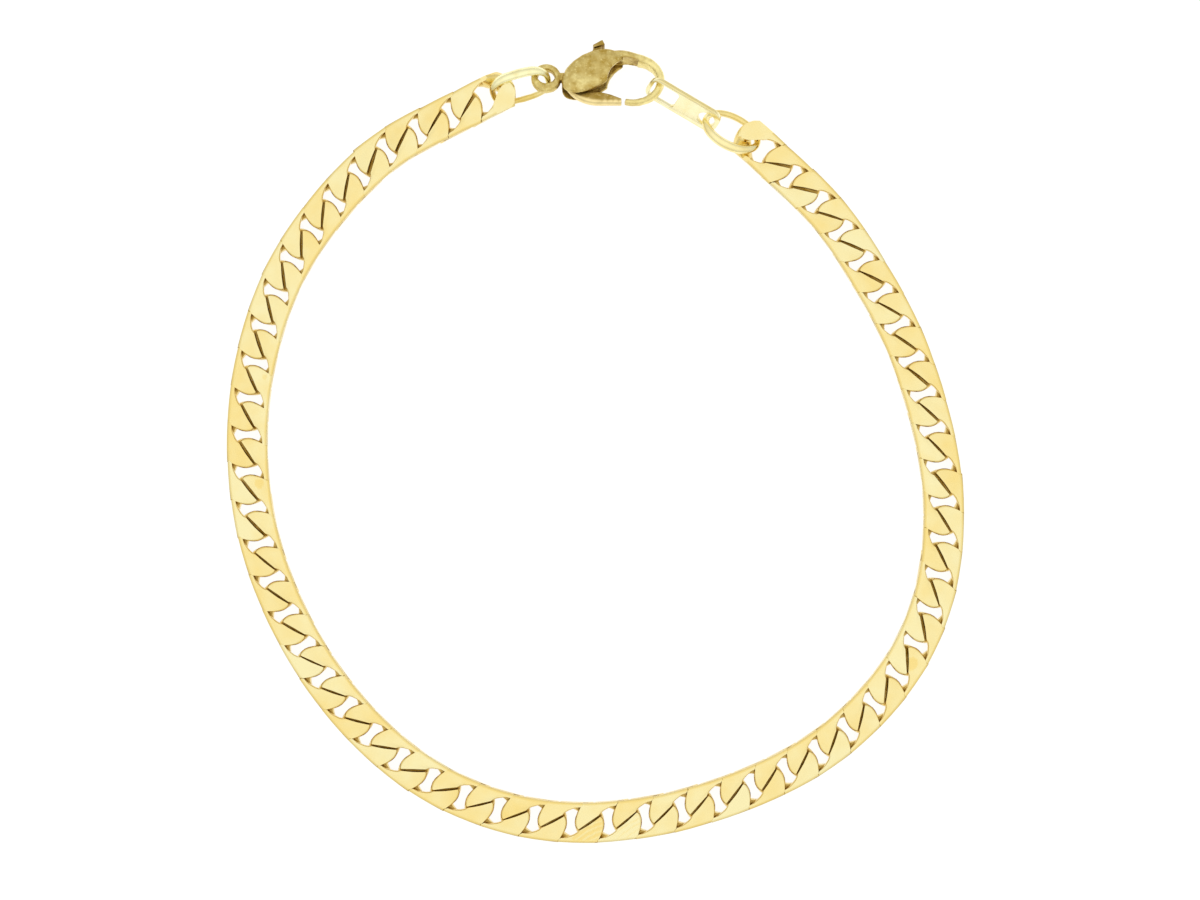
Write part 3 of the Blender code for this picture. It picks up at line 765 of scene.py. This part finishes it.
def chain_mesh(frames):
    rng = random.Random(7)
    plain = link_mesh()
    kinds = [plain] * len(frames)
    kinds[0], kinds[-1] = link_mesh(free=-1), link_mesh(free=1)

    def nearest(place):
        return min(range(len(frames)), key=lambda i: (frames[i].translation.xy - Vector(place)).length)

    for place, depth in SCORED_LINKS:
        kinds[nearest(place)] = scored(plain, depth)
    for place, dent, size, depth in DENTED_LINKS:
        kinds[nearest(place)] = dented(plain, dent, size, depth)
    darker = {nearest(place): tone for place, tone in DARK_LINKS}
    behind, ahead = [placed(plain, Matrix.Translation((shift, 0, 0))) for shift in (-LINK_PITCH, LINK_PITCH)]
    # Painted shade in the slits and where links close on each other, from how closed in each point is
    recess_of = {}
    for i, link in enumerate(kinds):
        if link.name not in recess_of:
            beside = [ahead] if i == 0 else [behind] if i == len(kinds) - 1 else [behind, ahead]
            recess_of[link.name] = face_recess(link, closed_in(link, beside, reach=SLIT_REACH))

    points, faces, tones, recess = [], [], [], []
    for i, (matrix, link) in enumerate(zip(frames, kinds)):
        sway = Matrix()
        for axis, spread in LINK_SWAY.items():
            sway @= Matrix.Rotation(math.radians(rng.gauss(0, spread)), 4, axis)
        start = len(points)
        points += [matrix @ sway @ vertex.co for vertex in link.vertices]
        faces += [[start + k for k in polygon.vertices] for polygon in link.polygons]
        recess += recess_of[link.name]
        outer = rng.gauss(FACE_TONE, FACE_TONE_SPREAD) + darker.get(i, 0)
        inner = rng.gauss(FACE_TONE, FACE_TONE_SPREAD)
        for vertex in link.vertices:
            # Walls and rims below the ground faces are painted darker, as shade
            rim = RIM_PAINTED_SHADE if abs(vertex.co.z) < CHAIN_THICKNESS / 2 - GROUND_SKIN else 0
            tones.append((outer if vertex.co.y < FACE_SLOPE * vertex.co.x else inner) + rim)
    mesh = bpy.data.meshes.new("chain")
    mesh.from_pydata(points, [], faces)
    mesh.attributes.new("recess", "FLOAT", "CORNER").data.foreach_set("value", recess)
    set_points(mesh, "tone", tones)
    return mesh


link_places = link_frames()
add_piece("curb_links", chain_mesh(link_places), chain_gold, "bracelet", ["curb_chain"],
          sharp=28)


# Clasp
PEBBLE = [
    (0.45, -1.0), (0.66, -0.98), (0.8, -0.93), (0.9, -0.87), (0.96, -0.8), (1.0, -0.62),
    (1.0, 0.62), (0.96, 0.8), (0.9, 0.87), (0.8, 0.93), (0.66, 0.98), (0.45, 1.0),
]
HOUSING_SPAN = math.hypot(HOUSING_LENGTH / 2 * math.cos(HOUSING_LEAN),
                          HOUSING_DROP * math.sin(HOUSING_LEAN))
HOUSING_LEFT = HOUSING_FROM_PIN[0] - HOUSING_SPAN
EYE_PLACE = (HOUSING_LEFT - EYE_GAP - EYE_WALL - EYE_BORE / 2, EYE_ABOVE_PIN)
NECK_BOTTOM = EYE_PLACE[1] - NECK_BELOW_EYE
BOSS_RADIUS = PIN_DIAMETER / 2 + CLEARANCE + BOSS_WALL
SLOT_WIDTH = LEVER_THICKNESS + 2 * CLEARANCE


def housing_mesh(sides=64):
    sections = []
    for share, height in PEBBLE:
        section = []
        for k in range(sides):
            angle = math.tau * k / sides
            depth = HOUSING_RISE if angle < math.pi else HOUSING_DROP
            oval = (HOUSING_LENGTH / 2 * share * math.cos(angle), depth * share * math.sin(angle))
            x, y = turned(oval, HOUSING_LEAN)
            place = (HOUSING_FROM_PIN[0] + x, HOUSING_FROM_PIN[1] + y, HOUSING_THICKNESS / 2 * height)
            section.append(Vector(place))
        sections.append(section)
    return loft(sections)


def hook_point(angle):
    """The hook's oval, drawn outwards where it flows into the top of the housing."""
    flow = 1 + HOOK_FLOW * rise(angle, HOOK_FLOW_START, HOOK_START)
    return Vector((HOOK_FROM_PIN[0] + HOOK_LENGTH / 2 * flow * math.cos(angle),
                   HOOK_FROM_PIN[1] + HOOK_HEIGHT / 2 * flow * math.sin(angle), 0))


def hook_size(angle):
    """Width in the clasp's plane and thickness across it at an angle of the hook's oval."""
    share = (HOOK_START - angle) / (HOOK_START - HOOK_END)
    width = HOOK_ROOT_WIDTH + (HOOK_TIP_WIDTH - HOOK_ROOT_WIDTH) * share
    thickness = HOOK_TIP_THICKNESS + (HOOK_ROOT_THICKNESS - HOOK_TIP_THICKNESS) * (1 - share) ** 2
    return width, thickness


def hook_mesh(segments=72, sides=24):
    sections = []
    for i in range(segments + 1):
        angle = HOOK_START + (HOOK_END - HOOK_START) * i / segments
        width, thickness = hook_size(angle)
        outward = Vector((math.cos(angle) / HOOK_LENGTH, math.sin(angle) / HOOK_HEIGHT, 0)).normalized()
        section = []
        for k in range(sides):
            turn = math.tau * (k + 0.5) / sides
            across = signed_power(math.cos(turn), HOOK_ROUNDNESS) * width / 2
            lift = signed_power(math.sin(turn), HOOK_ROUNDNESS) * thickness / 2
            section.append(hook_point(angle) + outward * across + UP * lift)
        sections.append(section)
    return loft(sections)


def eye_mesh(segments=48, sides=12):
    """A flattish ring with a rounded wall."""
    sections = []
    for i in range(segments):
        angle = math.tau * i / segments
        outward = Vector((math.cos(angle), math.sin(angle), 0))
        wall = EYE_WALL + EYE_HEAVY * max(-math.sin(angle), 0)
        middle = Vector((*EYE_PLACE, 0)) + outward * (EYE_BORE / 2 + EYE_WALL - wall / 2)
        section = []
        for k in range(sides):
            turn = math.tau * k / sides
            across = signed_power(math.cos(turn), EYE_ROUNDNESS) * wall / 2
            lift = UP * signed_power(math.sin(turn), EYE_ROUNDNESS) * EYE_THICKNESS / 2
            section.append(middle + outward * across + lift)
        sections.append(section)
    return loft(sections, closed=True)


def neck_mesh():
    left = EYE_PLACE[0] + EYE_BORE / 2 + EYE_WALL / 3
    right = HOUSING_LEFT + WEB_THICKNESS + CLEARANCE
    top = NECK_BOTTOM + NECK_HEIGHT
    half = NECK_THICKNESS / 2
    return prism([(left, NECK_BOTTOM), (right, NECK_BOTTOM), (right, top), (left, top)], -half, half)


def slot_mesh():
    """The space between the two walls in which the lever lies and swings."""
    left = HOUSING_LEFT + WEB_THICKNESS
    below = -2 * HOUSING_RISE
    roof = HOOK_FROM_PIN[1] + HOOK_HEIGHT / 2
    above = roof + HOUSING_RISE
    margin = ARM_WIDTH / 2 + CLEARANCE
    tab_left = roof / math.tan(TAB_ANGLE + LEVER_SWING) - margin
    mouth_left = hook_point(HOOK_END).x - CLEARANCE

    def beside_arm(height):
        return height / math.tan(TAB_ANGLE) + margin / math.sin(TAB_ANGLE)

    outline = [(left, SLOT_SHOULDER), (left, NECK_BOTTOM), (HOUSING_LEFT, NECK_BOTTOM - CLEARANCE),
               (HOUSING_LEFT - CLEARANCE, NECK_BOTTOM - 3 * CLEARANCE), (HOUSING_LEFT - CLEARANCE, below),
               (mouth_left, below), (mouth_left, 0), (HOOK_FROM_PIN[0] + SLOT_TAPER, SLOT_TOP),
               (HOOK_FROM_PIN[0] - SLOT_TAPER, roof), (beside_arm(roof), roof), (beside_arm(above), above),
               (tab_left, above), (tab_left, SLOT_TOP)]
    return prism(outline, -SLOT_WIDTH / 2, SLOT_WIDTH / 2)


def mouth_mesh(sides=72):
    """The oval space inside the hook, which hollows the right side of the housing."""
    reach = HOOK_LENGTH / 2 - MOUTH_INSET
    depth = HOOK_HEIGHT / 2 + MOUTH_INSET
    outline = []
    for k in range(sides):
        angle = math.tau * k / sides
        outline.append((HOOK_FROM_PIN[0] + reach * math.cos(angle),
                        HOOK_FROM_PIN[1] - MOUTH_DROP + depth * math.sin(angle)))
    return prism(outline, -HOUSING_THICKNESS, HOUSING_THICKNESS)


def tab_place():
    height = HOOK_FROM_PIN[1] + HOOK_HEIGHT / 2 + HOOK_ROOT_WIDTH / 2 + TAB_LIFT + TAB_HEIGHT / 2 - TAB_SINK
    return (height / math.tan(TAB_ANGLE), height)


def beaten(mesh, size, depth, seed):
    """Moves the points a little along their normals, as on a worn casting."""
    shift = Vector((seed, 2 * seed, 3 * seed))
    moves = []
    for vertex in mesh.vertices:
        value = noise.fractal(vertex.co / size + shift, DENT_ROUGHNESS, DENT_LACUNARITY, DENT_OCTAVES)
        moves.append(vertex.normal * value * depth)
    for vertex, move in zip(mesh.vertices, moves):
        vertex.co += move
    return mesh


def clasp_body_mesh():
    body = combine(housing_mesh(), mouth_mesh(), "DIFFERENCE")
    for part in (hook_mesh(), neck_mesh(), eye_mesh()):
        body = combine(body, part, "UNION")
    body = combine(body, slot_mesh(), "DIFFERENCE")
    body = combine(body, disc(PIN_DIAMETER / 2, HOUSING_THICKNESS + 2 * PIN_PROUD, 24), "UNION")
    body = faired(cast(body, BODY_VOXEL, BODY_SMOOTHING), JUNCTION, JUNCTION_REACH, JUNCTION_SMOOTHING)
    for dents in BODY_DENTS:
        beaten(body, *dents)
    return body


def ribbon(points, widths, thickness):
    """A flat bar of changing width along points in the clasp's plane."""
    sections = []
    for i, point in enumerate(points):
        before = points[max(i - 1, 0)]
        after = points[min(i + 1, len(points) - 1)]
        side = UP.cross((after - before).normalized()) * widths[i] / 2
        half = UP * thickness / 2
        left, right = point + side, point - side
        sections.append([right - half, left - half, left + half, right + half])
    return loft(sections)


def gate_edge(steps=25):
    """Outer edge and widths of the crescent that closes the mouth, from beside the neck to the hook's tip."""
    bottom = HOOK_FROM_PIN[1] - HOOK_HEIGHT / 2 - HOOK_TIP_WIDTH / 2
    centre = Vector((*GATE_CENTRE, 0))
    reach = centre.x - HOUSING_LEFT - GATE_INSET
    depth = centre.y - bottom
    start, end = GATE_ARC
    outer, widths = [], []
    for i in range(steps):
        share = i / (steps - 1)
        angle = start + (end - start) * share
        outer.append(centre + Vector((reach * math.cos(angle), depth * math.sin(angle), 0)))
        widths.append(GATE_RIM + (GATE_WIDTH - GATE_RIM) * math.sin(share * math.pi / 2))
    tip = hook_point(HOOK_END).x - CLEARANCE
    for step in range(GATE_TIP_STEPS):
        share = (step + 1) / GATE_TIP_STEPS
        outer.append(Vector((centre.x + (tip - centre.x) * share, bottom, 0)))
        widths.append(GATE_WIDTH + (GATE_TIP - GATE_WIDTH) * share ** GATE_TAPER)
    return outer, widths


def gate_mesh():
    outer, widths = gate_edge()
    sections = []
    for i, point in enumerate(outer):
        before = outer[max(i - 1, 0)]
        after = outer[min(i + 1, len(outer) - 1)]
        inward = UP.cross((after - before).normalized())
        inner = point + inward * widths[i]
        half = UP * LEVER_THICKNESS / 2
        section = [inner + half, inner - half]
        for k in range(GATE_ROUND_STEPS + 1):
            turn = math.pi * (k / GATE_ROUND_STEPS - 0.5)
            section.append(point + inward * GATE_ROUND * (1 - math.cos(turn)) + half * math.sin(turn))
        sections.append(section)
    return loft(sections)


def lever_mesh():
    outer, widths = gate_edge()
    near, rim = min(zip(outer, widths), key=lambda pair: pair[0].length)
    foot = near * (1 - rim / 2 / near.length)
    tab_x, tab_y = tab_place()
    top = Vector((tab_x, tab_y, 0))
    reach = Vector((math.cos(TAB_LEAN), math.sin(TAB_LEAN), 0)) * TAB_LENGTH / 2
    lever = gate_mesh()
    for part in (disc(BOSS_RADIUS, LEVER_THICKNESS, 40),
                 ribbon([foot, Vector((0, 0, 0)), top], [ARM_WIDTH] * 3, ARM_THICKNESS),
                 ribbon([top - reach, top + reach], [TAB_END_HEIGHT, TAB_HEIGHT], TAB_WIDTH)):
        lever = combine(lever, part, "UNION")
    bore = disc(PIN_DIAMETER / 2 + CLEARANCE, LEVER_THICKNESS * 2, 32)
    lever = cast(combine(lever, bore, "DIFFERENCE"), LEVER_VOXEL, LEVER_SMOOTHING)
    return beaten(lever, *LEVER_DENTS)


def faired(mesh, centre, reach, rounds):
    """Smooths the casting most at a place, and less away from it."""
    obj = bench_object(mesh)
    group = obj.vertex_groups.new(name="fairing")
    for vertex in mesh.vertices:
        share = 1 - math.hypot(vertex.co.x - centre[0], vertex.co.y - centre[1]) / reach
        if share > 0:
            group.add([vertex.index], min(share * 2, 1), "REPLACE")
    smooth = obj.modifiers.new("smooth", "SMOOTH")
    smooth.factor = 0.5
    smooth.iterations = rounds
    smooth.vertex_group = "fairing"
    return evaluated(obj)


def body_tone(place):
    """The housing is worn and dull but for a highlight painted about the pin, and the hook gets brighter
    towards its end.
    """
    towards_hook, towards_eye = rise(place.x, *HOOK_BRIGHTENS), rise(-place.x, *EYE_BRIGHTENS)
    away = (place.x - PIN_HIGHLIGHT_PLACE[0]) ** 2 + (place.y - PIN_HIGHLIGHT_PLACE[1]) ** 2
    tone = HOUSING_TONE - HOOK_BRIGHTER * towards_hook - EYE_BRIGHTER * towards_eye
    return tone - PIN_HIGHLIGHT_BRIGHTER * math.exp(-away / PIN_HIGHLIGHT_SPREAD)


def hook_mark(place):
    """A dark streak under the root of the hook, added to the painted shade of the hollows."""
    along, across = place.x - HOOK_MARK_PLACE[0], place.y - HOOK_MARK_PLACE[1]
    return HOOK_MARK_DARKNESS * math.exp(-(along / HOOK_MARK_LENGTH) ** 2 - (across / HOOK_MARK_WIDTH) ** 2)


def gate_light_and_shade(place, outer):
    """A highlight painted along the gate's outer edge, and shade painted inside it."""
    nearest = min((place - point).xy.length for point in outer)
    return GATE_EDGE_HIGHLIGHT + GATE_PAINTED_SHADE * rise(nearest, *GATE_SHADE_SPAN)


hinge = frame["joints"][0]
clasp = Matrix.Translation(Vector(hinge["pos_m"]) / MM) @ Matrix.Rotation(-CLASP_ROLL, 4, "X")
body_mesh, moving_mesh = clasp_body_mesh(), lever_mesh()
# Painted shade in the clasp's hollows and where body and lever close each other in
body_recess = closed_in(body_mesh, [moving_mesh], BODY_HOLLOW_REACH, CLASP_RAYS)
body_recess = [value + hook_mark(vertex.co) for value, vertex in zip(body_recess, body_mesh.vertices)]
moving_recess = closed_in(moving_mesh, [body_mesh], LEVER_HOLLOW_REACH, CLASP_RAYS)
gate_outer = gate_edge()[0]
set_points(body_mesh, "recess", body_recess)
set_points(body_mesh, "tone", [body_tone(vertex.co) for vertex in body_mesh.vertices])
set_points(moving_mesh, "recess", moving_recess)
set_points(moving_mesh, "tone", [gate_light_and_shade(vertex.co, gate_outer) for vertex in moving_mesh.vertices])
add_piece("cast_clasp_body", placed(body_mesh, clasp), clasp_gold, "bracelet", ["clasp_body"])
add_piece("sprung_gate", placed(moving_mesh, clasp), lever_gold, "lever", ["clasp_lever"])


# Connector, tag and jump ring
def flattened(section, side):
    """Breadth and thickness round an oval of wire that is pressed flat and broad on one side, 1 or -1."""
    thin, broader, thicker = section

    def shares(turn):
        pressed_share = max(side * math.sin(turn), 0)
        return thin + broader * pressed_share, thin + thicker * pressed_share
    return shares


def oval_link(start, end, width, tilt, wire, flatness, squareness=2.0, segments=96, sides=20):
    """A wire oval from one hooking point to the other, leaning about its long axis."""
    along = (end - start).normalized()
    flat = UP.cross(along).normalized()
    across = flat * math.cos(tilt) + along.cross(flat) * math.sin(tilt)
    normal = along.cross(across)
    reach = (end - start).length / 2
    side = (width - wire) / 2

    def middle(turn):
        x = reach * signed_power(math.cos(turn), 2 / squareness)
        y = side * signed_power(math.sin(turn), 2 / squareness)
        return (start + end) / 2 + along * x + across * y

    sections = []
    for i in range(segments):
        turn = math.tau * i / segments
        tangent = (middle(turn + math.pi / segments) - middle(turn - math.pi / segments)).normalized()
        outward = tangent.cross(normal)
        broad, thick = flatness(turn)
        spokes = []
        for k in range(sides):
            angle = math.tau * k / sides
            spokes.append(outward * math.cos(angle) * broad + normal * math.sin(angle) * thick)
        sections.append([middle(turn) + spoke * wire / 2 for spoke in spokes])
    return loft(sections, closed=True)


room = PLAIN_REACH - PLAIN_WIRE / 2 - CLEARANCE
first_hold = link_places[0] @ Vector((-(room - CONNECTOR_WIRE / 2), 0, 0))
last_hold = link_places[-1] @ Vector((room - RING_WIRE / 2, 0, 0))
eye_room = EYE_BORE / 2 - CLEARANCE - CONNECTOR_WIRE / 2
eye_hold = clasp @ Vector((EYE_PLACE[0] + eye_room, EYE_PLACE[1], 0))

connector = oval_link(first_hold, eye_hold, CONNECTOR_WIDTH, CONNECTOR_TILT, CONNECTOR_WIRE,
                      flattened(CONNECTOR_SECTION, 1), CONNECTOR_SQUARENESS)
beaten(connector, *CONNECTOR_DENTS)
# The connector is painted darker as shade in its hollows and on the side that leans down
connector_y = (first_hold.y + eye_hold.y) / 2
shade_from, shade_to = [connector_y + shift for shift in CONNECTOR_SHADE_FADES]
set_points(connector, "recess", closed_in(connector))
set_points(connector, "tone", [CONNECTOR_SHADE - CONNECTOR_SHADE * rise(vertex.co.y, shade_from, shade_to)
                               for vertex in connector.vertices])
add_piece("pressed_connector", connector, connector_gold, "bracelet", ["connector_link"])


def rounded_loop(start, end, half, corner, steps=6):
    """A rectangle along x with round corners."""
    outline = []
    for x, y, turn in ((end - corner, half - corner, 0), (start + corner, half - corner, 1),
                       (start + corner, corner - half, 2), (end - corner, corner - half, 3)):
        for step in range(steps + 1):
            angle = math.pi / 2 * (turn + step / steps)
            outline.append((x + corner * math.cos(angle), y + corner * math.sin(angle)))
    return outline


def tag_mesh():
    """A plate cut from an outline with a window and a bore, its edges softened all round."""
    curve = bpy.data.curves.new("tag_outline", "CURVE")
    curve.dimensions = "2D"
    curve.fill_mode = "BOTH"
    curve.extrude = TAG_THICKNESS / 2 - TAG_EDGE
    curve.bevel_depth = TAG_EDGE
    curve.bevel_resolution = 3
    curve.offset = -TAG_EDGE
    half = TAG_WIDTH / 2
    centre = TAG_LENGTH - TAG_BAR - TAG_BORE / 2
    angles = [math.tau * k / 40 for k in range(40)]
    loops = [rounded_loop(0, TAG_LENGTH, half, TAG_CORNER),
             rounded_loop(TAG_BAR, TAG_BAR + TAG_WINDOW, half - TAG_BAR, WINDOW_CORNER),
             [(centre + TAG_BORE / 2 * math.cos(a), TAG_BORE / 2 * math.sin(a)) for a in angles]]
    for loop in loops:
        spline = curve.splines.new("POLY")
        spline.points.add(len(loop) - 1)
        for point, (x, y) in zip(spline.points, loop):
            point.co = (x, y, 0, 1)
        spline.use_cyclic_u = True
    mesh = evaluated(bench_object(curve))
    bm = bmesh.new()
    bm.from_mesh(mesh)
    bmesh.ops.remove_doubles(bm, verts=bm.verts, dist=0.0005)
    bmesh.ops.recalc_face_normals(bm, faces=bm.faces)
    bm.to_mesh(mesh)
    bm.free()
    return mesh


width, _ = hook_size(TAG_HOOK_ANGLE)
inside = hook_point(TAG_HOOK_ANGLE) - Vector((width / 2 + CLEARANCE + TAG_BAR, 0, 0))
tag_start = clasp @ inside + UP * TAG_RAISE
drop = (tag_start.z - END_HEIGHT) / TAG_LENGTH
along = Vector((math.cos(TAG_DIRECTION), math.sin(TAG_DIRECTION), -drop)).normalized()
flat = UP.cross(along).normalized()
across = flat * math.cos(TAG_TILT) + along.cross(flat) * math.sin(TAG_TILT)
tag = tag_mesh()
# Painted shade in the tag's hollows and along its long edges
set_points(tag, "recess", closed_in(tag))
tag_side = TAG_WIDTH / 2
set_points(tag, "tone", [TAG_TONE + TAG_EDGE_SHADE * rise(abs(vertex.co.y), tag_side - TAG_SHADE_WIDTH, tag_side)
                         for vertex in tag.vertices])
add_piece("end_plate", placed(tag, frame_matrix(tag_start, along, across)), tag_gold, "bracelet",
          ["end_tag"])

tag_hold = tag_start + along * (TAG_LENGTH - TAG_BAR - TAG_BORE / 2)
ring = oval_link(tag_hold, last_hold, RING_WIDTH, RING_TILT, RING_WIRE, flattened(RING_SECTION, -1))
# Painted shade in the ring's hollows and on its far side, where it dives down
set_points(ring, "recess", closed_in(ring))
set_points(ring, "tone", [RING_TONE + RING_PAINTED_SHADE * rise((vertex.co - tag_hold).dot(flat), *RING_SHADE_SPAN)
                          for vertex in ring.vertices])
add_piece("oval_jump_ring", ring, ring_gold, "bracelet", ["jump_ring"])


# Floor, light and camera
def floor():
    material = bpy.data.materials.new("pale_floor")
    material.use_nodes = True
    nodes, links = material.node_tree.nodes, material.node_tree.links
    shader = nodes["Principled BSDF"]
    shader.inputs["Roughness"].default_value = 0.7
    shader.inputs["Specular IOR Level"].default_value = 0.1
    grain = nodes.new("ShaderNodeTexNoise")
    grain.inputs["Scale"].default_value = 400
    ramp = nodes.new("ShaderNodeValToRGB")
    ramp.color_ramp.elements[0].color = (0.2, 0.2, 0.198, 1)
    ramp.color_ramp.elements[1].color = (0.22, 0.22, 0.218, 1)
    links.new(grain.outputs["Fac"], ramp.inputs["Fac"])
    links.new(ramp.outputs["Color"], shader.inputs["Base Color"])
    shader.inputs["Emission Color"].default_value = (1, 0.995, 0.985, 1)
    shader.inputs["Emission Strength"].default_value = 0.9
    mesh = bpy.data.meshes.new("floor")
    corners = [(x * FLOOR_HALF, y * FLOOR_HALF, 0) for x, y in ((-1, -1), (1, -1), (1, 1), (-1, 1))]
    mesh.from_pydata(corners, [], [(0, 1, 2, 3)])
    mesh.materials.append(material)
    obj = bpy.data.objects.new("pale_floor", mesh)
    bpy.context.scene.collection.objects.link(obj)


def studio_light():
    """A white tent: brightest overhead and softer towards the floor."""
    world = bpy.data.worlds.new("tent")
    bpy.context.scene.world = world
    world.use_nodes = True
    nodes, links = world.node_tree.nodes, world.node_tree.links
    background = nodes["Background"]
    coordinates = nodes.new("ShaderNodeTexCoord")
    split = nodes.new("ShaderNodeSeparateXYZ")
    ramp = nodes.new("ShaderNodeValToRGB")
    ramp.color_ramp.elements[0].color = (0.56, 0.56, 0.56, 1)
    ramp.color_ramp.elements[1].color = (1, 1, 1, 1)
    links.new(coordinates.outputs["Generated"], split.inputs[0])
    links.new(split.outputs["Z"], ramp.inputs["Fac"])
    links.new(ramp.outputs["Color"], background.inputs["Color"])
    background.inputs["Strength"].default_value = 1.12


def camera():
    data = bpy.data.cameras.new("camera")
    data.type = "PERSP"
    data.lens = VIEW_LENS
    data.sensor_width = SENSOR_WIDTH
    data.clip_start = 0.01
    obj = bpy.data.objects.new("camera", data)
    bpy.context.scene.collection.objects.link(obj)
    height = VIEW_WIDTH * VIEW_LENS / SENSOR_WIDTH + CHAIN_THICKNESS
    obj.location = (VIEW_CENTRE[0] * MM, VIEW_CENTRE[1] * MM, height * MM)
    bpy.context.scene.camera = obj


floor()
studio_light()
camera()
bpy.context.scene.view_settings.view_transform = "Standard"
